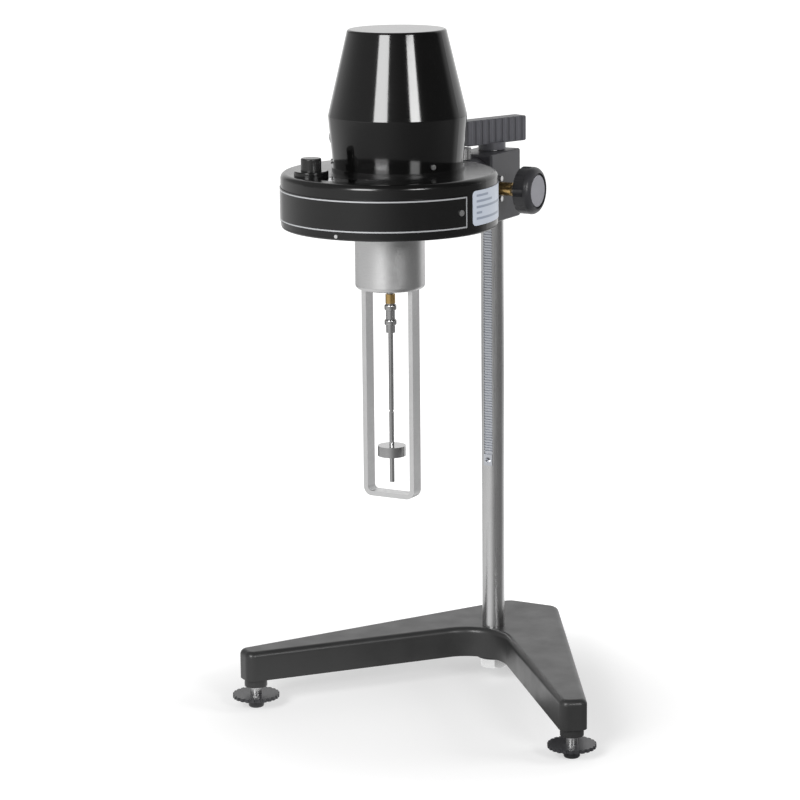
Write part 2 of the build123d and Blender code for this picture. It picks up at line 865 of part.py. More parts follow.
def switch_block(y0, y1, margin):
    """Block as wide and high as the switch body, drawn facing the front."""
    height = rocker_pivot()[1]
    half_width = rocker_half_width + sliding + switch_wall + margin
    half_height = rocker_sweep_radius + sliding + switch_wall + margin
    return block(-half_width, half_width, y0, y1, height - half_height, height + half_height)


def make_switch_body():
    reach, height = rocker_pivot()
    face = -reach - rocker_pivot_depth - switch_proud
    pocket_half_width = rocker_half_width + sliding
    pocket_half_height = rocker_sweep_radius + sliding
    pocket_end = face + switch_pocket_depth
    body = switch_block(face, pocket_end + switch_wall, 0)
    low = height - pocket_half_height
    body -= block(-pocket_half_width, pocket_half_width, face, pocket_end, low, low + 2 * pocket_half_height)
    pin = rocker_half_width + rocker_pin_length + sliding
    body -= rod_x(rocker_pin_radius + running, -pin, pin, -reach, height)
    return on_bearing(body, rocker_bearing, (0, hood_y))


def make_power_rocker():
    reach, height = rocker_pivot()
    sweep = rod_x(rocker_sweep_radius, -rocker_half_width, rocker_half_width, 0, 0)
    front = -rocker_pivot_depth - rocker_proud
    span = rocker_sweep_radius + seat
    rocker = sweep & block(-rocker_half_width, rocker_half_width, front, rocker_back, -span, span)
    pin = rocker_half_width + rocker_pin_length
    rocker += rod_x(rocker_pin_radius, -pin, pin, 0, 0)
    rocker = Pos(0, -reach, height) * Rot(rocker_tilt, 0, 0) * rocker
    return on_bearing(rocker, rocker_bearing, (0, hood_y))


def make_speed_knob():
    height = hood_bottom + speed_knob_z
    start = hood_outer_radius(speed_knob_z + speed_knob_radius) + sliding
    knob = fillet(rod(speed_knob_radius, 0, speed_knob_length).edges().group_by(Axis.Z)[-1], speed_knob_round)
    for index in range(speed_knob_grips):
        grip = point_on_bearing(speed_knob_radius, index * 360 / speed_knob_grips)
        knob -= rod(speed_knob_grip_radius, 0, speed_knob_length, grip)
    knob = Pos(0, -start, height) * Rot(90, 0, 0) * knob
    knob += rod_y(speed_shaft_radius, -start, -speed_cam_reach, 0, height)
    cam_start = -speed_cam_reach - speed_cam_thickness
    knob += rod_y(speed_cam_radius, cam_start, -speed_cam_reach, 0, height)
    return on_bearing(knob, speed_bearing, (0, hood_y))


# Gearbox and motor

def gearbox_levels():
    """Bottom and top of the lower plate, then of the upper plate."""
    lower = cover_top + gearbox_lower_z
    upper = lower + gearbox_plate_thickness + gearbox_gap
    return lower, lower + gearbox_plate_thickness, upper, upper + gearbox_plate_thickness


def motor_place():
    return (0, head_y + gearbox_module * (drive_gear_teeth + motor_gear_teeth) / 2)


def lay_gear_place():
    reach = gearbox_module * (drive_gear_teeth + lay_gear_teeth) / 2
    return point_on_bearing(reach, lay_gear_bearing, (0, head_y))


def gearbox_post_places():
    return [point_on_bearing(gearbox_post_reach, bearing, (0, hood_y)) for bearing in gearbox_post_bearings]


def gearbox_plate(bottom, top, post_hole):
    plate = rod(gearbox_plate_radius, bottom, top, (0, hood_y))
    plate -= rod(drive_shaft_radius + running, bottom, top, (0, head_y))
    for place in (motor_place(), lay_gear_place()):
        plate -= rod(motor_shaft_radius + running, bottom, top, place)
    for place in gearbox_post_places():
        plate -= rod(post_hole, bottom, top, place)
    return plate


def make_gearbox_lower_plate():
    bottom, top, _, _ = gearbox_levels()
    return gearbox_plate(bottom, top, gearbox_post_radius + running)


def make_gearbox_upper_plate():
    _, _, bottom, top = gearbox_levels()
    return gearbox_plate(bottom, top, gearbox_tip_radius + running)


def make_gearbox_posts():
    lower, _, upper, top = gearbox_levels()
    posts = []
    for place in gearbox_post_places():
        post = rod(gearbox_foot_radius, cover_top, lower, place)
        post += rod(gearbox_post_radius, lower, upper, place)
        posts.append(post + rod(gearbox_tip_radius, upper, top, place))
    return Compound(posts)


def make_motor_body():
    bottom = gearbox_levels()[3]
    body = rod(motor_radius, bottom, bottom + motor_length, motor_place())
    body = fillet(body.edges().group_by(Axis.Z)[-1], motor_edge_round)
    bore_top = bottom + motor_shaft_inset + sliding
    return body - rod(motor_shaft_radius + running, bottom, bore_top, motor_place())


def meshing_tooth(line_angle, teeth):
    """Angle of a tooth that meshes with the drive gear, whose first tooth points to +Y."""
    offset_in_teeth = (90 - line_angle) * drive_gear_teeth / 360
    return line_angle + 180 + (0.5 - offset_in_teeth % 1) * 360 / teeth


def arbor_gear(teeth, line_angle, arbor_top):
    """Gear with its arbor, standing in the lower gearbox plate."""
    bottom = cover_top + gear_z
    lower, _, _, _ = gearbox_levels()
    first_tooth = meshing_tooth(line_angle, teeth)
    wheel = gear(teeth, gearbox_module, bottom, bottom + gear_width, motor_shaft_radius, first_tooth)
    return wheel + rod(motor_shaft_radius, lower + sliding, arbor_top)


def make_motor_pinion():
    shaft_top = gearbox_levels()[3] + motor_shaft_inset
    return Pos(*motor_place(), 0) * arbor_gear(motor_gear_teeth, 90, shaft_top)


def make_lay_gear():
    arbor_top = gearbox_levels()[3] - sliding
    return Pos(*lay_gear_place(), 0) * arbor_gear(lay_gear_teeth, lay_gear_bearing - 90, arbor_top)


def make_drive_gear():
    bottom = cover_top + gear_z
    bore = drive_shaft_radius + running
    wheel = gear(drive_gear_teeth, gearbox_module, bottom, bottom + gear_width, bore, 90)
    return Pos(0, head_y, 0) * wheel


def make_drive_shaft():
    hub_bottom = cover_top - yoke_drop
    hub_top = hub_bottom + yoke_hub_height
    shaft_top = gearbox_levels()[3] - sliding
    arm = block(-yoke_post_radius, yoke_post_radius, -yoke_reach, 0, hub_bottom, hub_top)
    shaft = rod(yoke_hub_radius, hub_bottom, hub_top) + rod(drive_shaft_radius, hub_top, shaft_top) + arm
    shaft += rod(yoke_post_radius, dial_top, hub_top, (0, -yoke_reach))
    shaft -= rod(pivot_tip_radius + running, hub_bottom, pivot_top() + sliding)
    return on_bearing(shaft, yoke_bearing, (0, head_y))


# Dial, pointer and hairspring

def make_dial_plate():
    dial_bottom = dial_top - dial_thickness
    plate = ring(dial_radius, dial_bore, dial_bottom, dial_top)
    stud_reach = hairspring_outer
    stud_turn = degrees((hairspring_stud_radius + seat) / stud_reach)
    stud_place = point_on_bearing(stud_reach, stud_turn)
    plate += rod(hairspring_stud_radius, dial_bottom - hairspring_drop, dial_bottom, stud_place)
    return Pos(0, head_y, 0) * plate


def make_hairspring():
    bottom = dial_top - dial_thickness - hairspring_drop
    samples = hairspring_turns * 24
    inner_points = []
    outer_points = []
    for index in range(samples + 1):
        share = index / samples
        radius = hairspring_inner + (hairspring_outer - hairspring_inner) * share
        turn = 360 * hairspring_turns * share
        inner_points.append(point_on_bearing(radius - hairspring_strip / 2, turn))
        outer_points.append(point_on_bearing(radius + hairspring_strip / 2, turn))
    inner = Spline(*inner_points)
    outer = Spline(*outer_points)
    ends = [Line(inner @ 0, outer @ 0), Line(inner @ 1, outer @ 1)]
    coil = extrude(make_face([inner, ends[1], outer, ends[0]]), amount=hairspring_height)
    collet = ring(hairspring_inner, pivot_radius + running, 0, hairspring_height)
    return Pos(0, head_y, bottom) * (coil + collet)


def make_pointer():
    bottom = dial_top + pointer_rise
    half_width = pointer_width / 2
    half_tip = pointer_tip_width / 2
    outline = [(-half_width, pointer_tail), (half_width, pointer_tail), (half_width, 0)]
    outline += [(half_tip, -pointer_length), (-half_tip, -pointer_length), (-half_width, 0)]
    arm = Pos(0, 0, bottom) * extrude(make_face(Polyline(*outline, close=True)), amount=pointer_thickness)
    body = arm + rod(pointer_hub_radius, bottom, bottom + pointer_hub_height)
    return Pos(0, head_y, 0) * (body - rod(pivot_radius + running, bottom, bottom + pointer_hub_height))


def pivot_shoulder():
    """Height where the pivot shaft narrows to its tip."""
    return cover_top - yoke_drop - sliding


def pivot_top():
    return pivot_shoulder() + pivot_tip_length


def coupling_joint():
    """Height where the pivot shaft meets the spindle inside the spindle nut."""
    return nut_bottom + nut_length / 2


def make_pivot_shaft():
    shaft = rod(pivot_radius, coupling_joint(), pivot_shoulder(), (0, head_y))
    return shaft + rod(pivot_tip_radius, pivot_shoulder(), pivot_top(), (0, head_y))


def make_spindle_nut():
    return ring(nut_radius, pivot_radius + running, nut_bottom, nut_bottom + nut_length, (0, head_y))


def make_spindle():
    coupling_bottom = nut_bottom - coupling_length
    body = rod(spindle_stud_radius, nut_bottom, coupling_joint() - seat)
    body += rod(coupling_neck_radius, coupling_bottom, nut_bottom)
    for index in range(2):
        bead_top = nut_bottom - (coupling_bead_pitch - coupling_bead) / 10 - index * coupling_bead_pitch
        bead = rod(coupling_radius, bead_top - coupling_bead, bead_top)
        body += fillet(bead.edges().filter_by(GeomType.CIRCLE), bead_round)
    body += rod(spindle_shaft_radius, spindle_bottom, coupling_bottom)
    body += rod(disc_radius, disc_z - disc_thickness / 2, disc_z + disc_thickness / 2)
    groove = spindle_shaft_radius - mark_depth
    body -= ring(disc_radius, groove, mark_z - mark_height / 2, mark_z + mark_height / 2)
    return Pos(0, head_y, 0) * body


# Neck collar and guard

def make_neck_collar():
    collar = rod(collar_radius, collar_bottom, drum_bottom)
    collar = fillet(collar.edges().group_by(Axis.Z)[0], collar_round)
    floor = collar_bottom + bulkhead_z
    collar -= rod(collar_bore, collar_bottom, floor)
    collar -= rod(collar_bore, floor + bulkhead_thickness, drum_bottom)
    collar -= rod(bearing_radius + running, floor, floor + bulkhead_thickness)
    return Pos(0, head_y, 0) * collar


def make_lower_bearing():
    floor = collar_bottom + bulkhead_z
    return ring(bearing_radius, pivot_radius + running, floor, floor + bearing_height, (0, head_y))


def make_guard_frame():
    ring_bottom = collar_bottom + seat
    ring_top = ring_bottom + guard_ring_height
    ring_outer = collar_bore - seat
    half_depth = guard_depth / 2
    inner_half = guard_half_width - guard_thickness
    outer = block(-guard_half_width, guard_half_width, -half_depth, half_depth, guard_bottom, ring_top)
    outer = fillet(outer.edges().filter_by(Axis.Y).group_by(Axis.Z)[0], guard_corner_round)
    inner = block(-inner_half, inner_half, -half_depth, half_depth, guard_bottom + guard_thickness, ring_top)
    inner_round = guard_corner_round - guard_thickness
    frame = outer - fillet(inner.edges().filter_by(Axis.Y).group_by(Axis.Z)[0], inner_round)
    below_collar = collar_bottom - sliding
    frame -= ring(collar_radius, ring_outer, below_collar, ring_top)
    frame += ring(ring_outer, ring_outer - guard_ring_width, ring_bottom, ring_top)
    return Pos(0, head_y, 0) * frame


# Pointer lock and spirit level

def level_place():
    """Middle of the spirit level, just outside the hood's ring."""
    reach = hood_ring_radius + level_gap + level_radius
    return point_on_bearing(reach, level_bearing, (0, hood_y))


def make_lock_collar():
    top = cover_top + lock_collar_height
    collar = rod(lock_collar_radius, cover_top, top)
    collar = fillet(collar.edges().group_by(Axis.Z)[-1], lock_edge_round)
    collar -= rod(lock_button_radius + sliding, cover_top, top)
    return Pos(*point_on_bearing(lock_reach, lock_bearing, (0, head_y)), 0) * collar


def lock_button_bottom():
    return cover_top + lock_travel + seat


def make_lock_button():
    bottom = lock_button_bottom()
    foot_bottom = dial_top + lock_travel + seat
    button = rod(lock_button_radius, bottom, bottom + lock_button_height)
    button = fillet(button.edges().group_by(Axis.Z)[-1], lock_edge_round)
    button -= rod(lock_cup_radius, bottom, bottom + lock_cup_depth)
    button += rod(lock_stem_radius, foot_bottom, bottom + lock_cup_depth)
    button += rod(lock_foot_radius, foot_bottom, foot_bottom + lock_foot_height)
    return Pos(*point_on_bearing(lock_reach, lock_bearing, (0, head_y)), 0) * button


def make_lock_spring():
    start = cover_top + lock_spring_wire
    height = lock_button_bottom() + lock_cup_depth - lock_spring_wire - start
    path = Pos(0, 0, start) * Helix(height / lock_spring_turns, height, lock_spring_radius)
    wire = sweep(Plane(path @ 0, z_dir=path % 0) * Circle(lock_spring_wire), path)
    return Pos(*point_on_bearing(lock_reach, lock_bearing, (0, head_y)), 0) * wire


def make_level_housing():
    bottom = cover_top - level_depth
    top = cover_top + level_proud
    cup = rod(level_radius, bottom, top) - rod(level_glass_radius + running, top - level_glass_thickness, top)
    return Pos(*level_place(), 0) * cup


def make_level_glass():
    top = cover_top + level_proud
    return rod(level_glass_radius, top - level_glass_thickness, top, level_place())


def save(name, shape):
    """Write one piece, moved from the column axis to the part's origin."""
    export_step(Pos(0, column_y, 0) * shape, f"parts/{name}.step")


pieces = {
    "base_casting": make_base_casting,
    "column": make_column,
    "column_nut": make_column_nut,
    "rack_strip": make_rack_strip,
    "column_handle": make_column_handle,
    "column_handle_stud": make_column_handle_stud,
    "lift_carriage": make_lift_carriage,
    "pinion_bearing_plug": make_bearing_plug,
    "pinion_bushes": make_pinion_bushes,
    "bearing_plug_screws": make_bearing_plug_screws,
    "friction_pad": make_friction_pad,
    "friction_screw": make_friction_screw,
    "pinion_shaft": make_pinion_shaft,
    "pinion_gear": make_pinion_gear,
    "lift_knob": make_lift_knob,
    "lift_knob_cap": make_lift_knob_cap,
    "rod_clamp_screw": make_rod_clamp_screw,
    "handle_rod": make_handle_rod,
    "rod_nut": make_rod_nut,
    "drum_housing": make_drum_housing,
    "drum_screws": make_drum_screws,
    "nameplate_strip": make_nameplate_strip,
    "side_sticker": make_side_sticker,
    "top_cover": make_top_cover,
    "window_glass": make_window_glass,
    "hood_base_ring": make_hood_base_ring,
    "hood_screws": make_hood_screws,
    "motor_hood": make_motor_hood,
    "power_inlet": make_power_inlet,
    "switch_body": make_switch_body,
    "power_rocker": make_power_rocker,
    "speed_knob": make_speed_knob,
    "gearbox_lower_plate": make_gearbox_lower_plate,
    "gearbox_upper_plate": make_gearbox_upper_plate,
    "gearbox_posts": make_gearbox_posts,
    "motor_body": make_motor_body,
    "motor_pinion": make_motor_pinion,
    "lay_gear": make_lay_gear,
    "drive_gear": make_drive_gear,
    "drive_shaft": make_drive_shaft,
    "dial_plate": make_dial_plate,
    "hairspring": make_hairspring,
    "pointer": make_pointer,
    "pivot_shaft": make_pivot_shaft,
    "spindle_nut": make_spindle_nut,
    "spindle": make_spindle,
    "neck_collar": make_neck_collar,
    "lower_bearing": make_lower_bearing,
    "guard_frame": make_guard_frame,
    "lock_collar": make_lock_collar,
    "lock_button": make_lock_button,
    "lock_spring": make_lock_spring,
    "level_housing": make_level_housing,
    "level_glass": make_level_glass,
}

for name, make in pieces.items():
    save(name, make())
for name, place in feet.items():
    save(f"{name}_foot_wheel", make_foot_wheel(place))
    save(f"{name}_foot_screw", make_foot_screw(place))
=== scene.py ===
"""Looks for the rotational viscometer: materials, small surface detail, camera, lights and floor."""
import json
import math

import bpy
from mathutils import Matrix, Vector


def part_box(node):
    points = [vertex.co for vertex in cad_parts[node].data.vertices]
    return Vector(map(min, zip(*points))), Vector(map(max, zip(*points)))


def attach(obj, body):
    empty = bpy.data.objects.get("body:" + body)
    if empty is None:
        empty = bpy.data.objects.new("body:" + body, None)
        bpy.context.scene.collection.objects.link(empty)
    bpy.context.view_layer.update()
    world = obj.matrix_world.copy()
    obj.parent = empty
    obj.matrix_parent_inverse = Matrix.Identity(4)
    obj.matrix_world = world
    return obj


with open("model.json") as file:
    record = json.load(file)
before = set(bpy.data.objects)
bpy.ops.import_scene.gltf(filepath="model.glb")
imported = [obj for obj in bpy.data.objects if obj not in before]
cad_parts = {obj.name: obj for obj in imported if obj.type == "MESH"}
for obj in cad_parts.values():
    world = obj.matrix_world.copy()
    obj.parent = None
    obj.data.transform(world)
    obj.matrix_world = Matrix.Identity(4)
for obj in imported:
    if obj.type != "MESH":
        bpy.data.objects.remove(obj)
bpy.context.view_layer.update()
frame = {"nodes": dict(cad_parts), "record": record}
nodes = frame["nodes"]
scene = bpy.context.scene

# Places in the part's frame, in metres
COLUMN_Y = 0.0778
HEAD_Y = COLUMN_Y - 0.150
HOOD_Y = COLUMN_Y - 0.1375
DIAL_TOP = 0.3808


# Nodes that the materials, the floor and the world share

def put(tree, socket, value):
    """Links an output to a socket, or sets the socket's own value."""
    if isinstance(value, bpy.types.NodeSocket):
        tree.links.new(value, socket)
    else:
        socket.default_value = value


def math_node(tree, operation, *values):
    """One Math node whose inputs are outputs of other nodes or plain numbers."""
    node = tree.nodes.new("ShaderNodeMath")
    node.operation = operation
    for socket, value in zip(node.inputs, values):
        put(tree, socket, value)
    return node.outputs[0]


def map_range(tree, value, from_low, from_high, to_low, to_high, interpolation="SMOOTHSTEP"):
    """Maps a value from one range to another, and keeps it within the second."""
    node = tree.nodes.new("ShaderNodeMapRange")
    node.interpolation_type = interpolation
    put(tree, node.inputs["Value"], value)
    for name, number in (
        ("From Min", from_low), ("From Max", from_high), ("To Min", to_low), ("To Max", to_high)
    ):
        node.inputs[name].default_value = number
    return node.outputs[0]


# Material building

# Most of a noise lies between these two values
NOISE_LOW, NOISE_HIGH = 0.3, 0.7
PAINT_IOR = 1.5
GLASS_IOR = 1.49


class Shader:
    """A material's node tree with short calls for the nodes used here."""

    def __init__(self, name):
        self.material = bpy.data.materials.new(name)
        self.material.use_nodes = True
        self.tree = self.material.node_tree
        self.principled = self.tree.nodes["Principled BSDF"]
        self.coordinates = self.add("ShaderNodeTexCoord").outputs["Object"]

    def add(self, kind, **settings):
        node = self.tree.nodes.new(kind)
        for name, value in settings.items():
            setattr(node, name, value)
        return node

    def set(self, **values):
        """Gives sockets of the material's main node their values."""
        for name, value in values.items():
            put(self.tree, self.principled.inputs[name.replace("_", " ")], value)
        return self

    def math(self, operation, *values):
        return math_node(self.tree, operation, *values)

    def noise(self, scale, detail=2.0, stretch=(1, 1, 1)):
        """Noise in metres, drawn out along an axis whose stretch is small."""
        mapping = self.add("ShaderNodeMapping")
        mapping.inputs["Scale"].default_value = stretch
        put(self.tree, mapping.inputs["Vector"], self.coordinates)
        node = self.add("ShaderNodeTexNoise")
        put(self.tree, node.inputs["Vector"], mapping.outputs[0])
        node.inputs["Scale"].default_value = scale
        node.inputs["Detail"].default_value = detail
        return node.outputs["Fac"]

    def spread(self, value, low, high):
        """Maps the middle of a noise to a range."""
        return map_range(self.tree, value, NOISE_LOW, NOISE_HIGH, low, high, "LINEAR")

    def uneven(self, value, middle, share):
        """Maps the middle of a noise to a range about a value, a share of it wide on either side."""
        return self.spread(value, middle * (1 - share), middle * (1 + share))

    def mix(self, amount, first, second):
        node = self.add("ShaderNodeMix", data_type="RGBA")
        put(self.tree, node.inputs["Factor"], amount)
        put(self.tree, node.inputs["A"], first)
        put(self.tree, node.inputs["B"], second)
        return node.outputs["Result"]

    def bump(self, height, distance):
        node = self.add("ShaderNodeBump")
        put(self.tree, node.inputs["Height"], height)
        node.inputs["Distance"].default_value = distance
        node.inputs["Strength"].default_value = 1.0
        put(self.tree, self.principled.inputs["Normal"], node.outputs[0])
        return self

    def axes(self):
        """The separate X, Y and Z of the object's own coordinates, in metres."""
        node = self.add("ShaderNodeSeparateXYZ")
        put(self.tree, node.inputs[0], self.coordinates)
        return node.outputs

    def polar(self, centre_y):
        """Radius about an upright axis, and bearing from the front in degrees."""
        x, y, _ = self.axes()
        forward = self.math("SUBTRACT", centre_y, y)
        squares = self.math(
            "ADD", self.math("MULTIPLY", x, x), self.math("MULTIPLY", forward, forward)
        )
        bearing = self.math("DEGREES", self.math("ARCTAN2", x, forward))
        return self.math("SQRT", squares), bearing

    def between(self, value, low, high):
        """One where value lies between two limits, and else zero."""
        above = self.math("GREATER_THAN", value, low)
        return self.math("MULTIPLY", above, self.math("LESS_THAN", value, high))


def grey(level, tint=0.0):
    """Grey whose blue is stronger by a share of the level."""
    return (level, level, level * (1 + tint), 1)


def scaled(colour, factor):
    """A colour made lighter or darker by a factor."""
    return tuple(min(1, channel * factor) for channel in colour[:3]) + (1,)


def enamel(name, colour, roughness, grain=0.00002, grain_scale=900):
    """Sprayed paint with a fine texture and slightly uneven gloss."""
    shader = Shader(name)
    cloud = shader.noise(60, 3)
    shader.set(Base_Color=shader.mix(cloud, colour, scaled(colour, 1.35)))
    shader.set(Roughness=shader.uneven(cloud, roughness, 0.12), IOR=PAINT_IOR)
    return shader.bump(shader.noise(grain_scale), grain).material


def metal(name, colour, roughness, stretch=(1, 1, 1), scale=1500, grain=0.000006):
    """Bare metal with machining marks drawn out along one axis."""
    shader = Shader(name)
    marks = shader.noise(scale, 3, stretch)
    worn = shader.math("MULTIPLY", marks, shader.noise(40))
    shader.set(Base_Color=shader.mix(worn, colour, scaled(colour, 0.75)), Metallic=1.0)
    shader.set(Roughness=shader.uneven(marks, roughness, 0.2))
    return shader.bump(marks, grain).material


def moulding(name, colour, roughness, grain=0.00004):
    """Moulded plastic with a fine eroded grain."""
    shader = Shader(name)
    cells = shader.noise(2200)
    shader.set(Base_Color=shader.mix(shader.noise(90), colour, scaled(colour, 1.25)))
    shader.set(Roughness=shader.uneven(cells, roughness, 0.15))
    return shader.bump(cells, grain).material


def strip_material():
    """Dark band with thin bright border lines along its edges."""
    line_inset, line_width = 0.0008, 0.0009
    radius, end_bearing = 0.071, 72.4
    shader = Shader("strip_band")
    low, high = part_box("nameplate_strip")
    height = shader.axes()[2]
    bearing = shader.math("ABSOLUTE", shader.polar(HEAD_Y)[1])
    above_bottom = shader.math("SUBTRACT", height, low.z)
    below_top = shader.math("SUBTRACT", high.z, height)
    from_edge = shader.math("MINIMUM", above_bottom, below_top)
    degrees_left = shader.math("SUBTRACT", end_bearing, bearing)
    from_end = shader.math("MULTIPLY", degrees_left, math.radians(radius))
    nearest = shader.math("MINIMUM", from_edge, shader.math("ADD", from_end, line_inset))
    lines = shader.between(nearest, line_inset, line_inset + line_width)
    shader.set(Base_Color=shader.mix(lines, grey(0.004), (0.6, 0.61, 0.63, 1)))
    shader.set(Metallic=shader.math("MULTIPLY", lines, 0.6), IOR=PAINT_IOR)
    shader.set(Roughness=shader.spread(shader.noise(300), 0.16, 0.22))
    return shader.bump(lines, -0.00005).material


def sticker_material():
    """Pale film with faint rows of plain bars of several lengths."""
    row_pitch, row_share = 0.0037, 0.42
    bottom_margin, top_margin = 0.0025, 0.002
    row_start, row_middle_end, row_end_swing, row_end_change = 80.0, 99.0, 14.0, 2.4
    bar_strength = 0.75
    shader = Shader("film")
    low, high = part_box("side_sticker")
    height = shader.axes()[2]
    bearing = shader.polar(HEAD_Y)[1]
    rows = shader.math("DIVIDE", shader.math("SUBTRACT", height, low.z), row_pitch)
    in_row = shader.math("LESS_THAN", shader.math("FRACT", rows), row_share)
    number = shader.math("FLOOR", rows)
    wave = shader.math("SINE", shader.math("MULTIPLY", number, row_end_change))
    row_end = shader.math("ADD", row_middle_end, shader.math("MULTIPLY", row_end_swing, wave))
    within_height = shader.between(height, low.z + bottom_margin, high.z - top_margin)
    within_length = shader.between(bearing, row_start, row_end)
    bars = shader.math("MULTIPLY", in_row, shader.math("MULTIPLY", within_height, within_length))
    ink = shader.math("MULTIPLY", bars, bar_strength)
    shader.set(Base_Color=shader.mix(ink, (0.46, 0.5, 0.57, 1), (0.16, 0.19, 0.25, 1)))
    shader.set(Roughness=shader.spread(shader.noise(400), 0.3, 0.42))
    return shader.bump(shader.noise(900), 0.00001).material


def dial_material():
    """White dial with a hundred divisions near its rim, every fifth one longer."""
    tick_outer, ring_inner, ring_outer = 0.0575, 0.0573, 0.0577
    fine_ticks = (100, 0.0548, 0.00016)
    long_ticks = (20, 0.0528, 0.00024)
    shader = Shader("dial_face")
    radius, bearing = shader.polar(HEAD_Y)
    marks = shader.between(radius, ring_inner, ring_outer)
    for divisions, tick_inner, half_width in (fine_ticks, long_ticks):
        steps = shader.math("MULTIPLY", bearing, divisions / 360)
        turn = shader.math("FRACT", shader.math("ADD", steps, 100.5))
        from_tick = shader.math("ABSOLUTE", shader.math("SUBTRACT", turn, 0.5))
        angle = shader.math("MULTIPLY", from_tick, 2 * math.pi / divisions)
        near = shader.math("LESS_THAN", shader.math("MULTIPLY", angle, radius), half_width)
        tick = shader.math("MULTIPLY", near, shader.between(radius, tick_inner, tick_outer))
        marks = shader.math("MAXIMUM", marks, tick)
    shader.set(Base_Color=shader.mix(marks, grey(0.8), grey(0.02)))
    shader.set(Roughness=shader.spread(shader.noise(200), 0.35, 0.45))
    return shader.bump(marks, 0.00002).material


def clear(name, colour):
    """Clear glass or liquid with a faintly uneven surface."""
    shader = Shader(name)
    shader.set(Base_Color=colour, Roughness=0.02, Transmission_Weight=1.0, IOR=GLASS_IOR)
    return shader.bump(shader.noise(120), 0.000004).material


materials = {
    "black_enamel": enamel("stand_enamel", grey(0.02), 0.36, 0.00003),
    "gloss_black_enamel": enamel("gloss_enamel", grey(0.003), 0.1, 0.000004, 260),
    "drum_enamel": enamel("drum_enamel", grey(0.003), 0.2, 0.000006, 400),
    "grey_enamel": enamel("carriage_enamel", grey(0.032, 0.12), 0.34, 0.00003),
    "motor_can": enamel("motor_enamel", grey(0.3), 0.4),
    "red_pointer": enamel("pointer_enamel", (0.5, 0.02, 0.015, 1), 0.35),
    "ground_steel": metal("ground_steel", grey(0.62), 0.3, (1, 1, 0.03)),
    "rack_steel": metal("rack_steel", (0.6, 0.62, 0.66, 1), 0.32, (0.05, 1, 1)),
    "bright_plating": metal("bright_plating", grey(0.8), 0.3),
    "spring_steel": metal("spring_steel", grey(0.6), 0.22),
    "spring_bronze": metal("spring_bronze", (0.55, 0.36, 0.16, 1), 0.25),
    "bright_steel": metal("bright_steel", grey(0.5), 0.2, (1, 1, 0.2)),
    "satin_aluminium": metal("satin_aluminium", grey(0.7), 0.36, (0.25, 0.25, 4), 900, 0.000008),
    "brass": metal("brass", (0.62, 0.42, 0.17, 1), 0.24, (1, 1, 3)),
    "dark_moulding": moulding("dark_moulding", grey(0.03, 0.1), 0.36),
    "handle_moulding": moulding("handle_moulding", grey(0.09, 0.12), 0.4),
    "light_cap": moulding("light_cap", (0.2, 0.2, 0.22, 1), 0.35),
    "button_black": moulding("button_black", grey(0.012), 0.25, 0.00001),
    "black_strip": strip_material(),
    "pale_film": sticker_material(),
    "white_dial": dial_material(),
    "clear_glass": clear("clear_glass", (0.95, 0.97, 0.98, 1)),
    "level_glass": clear("level_glass", (0.72, 0.86, 0.3, 1)),
}
slot_of = {row["node"]: row["material_slot"] for row in frame["record"]["subparts"]}
# Nodes whose look differs a little from the others in their slot
look_of = {
    "column_handle": "handle_moulding",
    "top_cover": "drum_enamel",
    "drum_housing": "drum_enamel",
    "hood_base_ring": "drum_enamel",
    "lock_collar": "drum_enamel",
}
for name, piece in nodes.items():
    for slot in piece.material_slots:
        slot.material = materials[look_of.get(name, slot_of[name])]


# Numbers on the dial

NUMBER_HEIGHT = 0.0046
NUMBER_HALF_THICKNESS = 0.00004
NUMBER_REACH = 0.0495
NUMBER_LIFT = 0.00005
NUMBER_COUNT = 10


def dial_number(value, bearing):
    """Plain number printed on the dial, reading from outside."""
    curve = bpy.data.curves.new(f"dial_number_{value}", "FONT")
    curve.body = str(value)
    curve.size = NUMBER_HEIGHT
    curve.extrude = NUMBER_HALF_THICKNESS
    curve.align_x = "CENTER"
    curve.align_y = "CENTER"
    piece = bpy.data.objects.new(curve.name, curve)
    scene.collection.objects.link(piece)
    turn = math.radians(bearing)
    piece.location = (
        NUMBER_REACH * math.sin(turn), HEAD_Y - NUMBER_REACH * math.cos(turn), DIAL_TOP + NUMBER_LIFT
    )
    piece.rotation_euler = (0, 0, turn)
    curve.materials.append(materials["button_black"])
    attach(piece, "dial")


for index in range(NUMBER_COUNT):
    dial_number(index * 10, index * 360 // NUMBER_COUNT)


# Camera

AZIMUTH = math.radians(28.426)
PITCH = math.radians(12.077)
ROLL = math.radians(-0.568)
CAMERA_PLACE = (0.93085, -1.77994, 0.65209)
LENS, SENSOR_WIDTH = 134.98, 36


def upright_direction(bearing, rise):
    """Unit vector towards a bearing from the front, raised by an angle, both in radians."""
    level = math.cos(rise)
    return Vector((math.sin(bearing) * level, -math.cos(bearing) * level, math.sin(rise)))


forward = -upright_direction(AZIMUTH, PITCH)
right = Vector((math.cos(AZIMUTH), math.sin(AZIMUTH), 0))
up = right.cross(forward)
camera_right = math.cos(ROLL) * right + math.sin(ROLL) * up
camera_up = math.cos(ROLL) * up - math.sin(ROLL) * right
camera_turn = Matrix((camera_right, camera_up, -forward)).transposed()
camera = bpy.data.objects.new("camera", bpy.data.cameras.new("camera"))
scene.collection.objects.link(camera)
camera.matrix_world = Matrix.Translation(CAMERA_PLACE) @ camera_turn.to_4x4()
camera.data.lens = LENS
camera.data.sensor_width = SENSOR_WIDTH
camera.data.clip_end = 100
scene.camera = camera


# Floor, surroundings and lamps

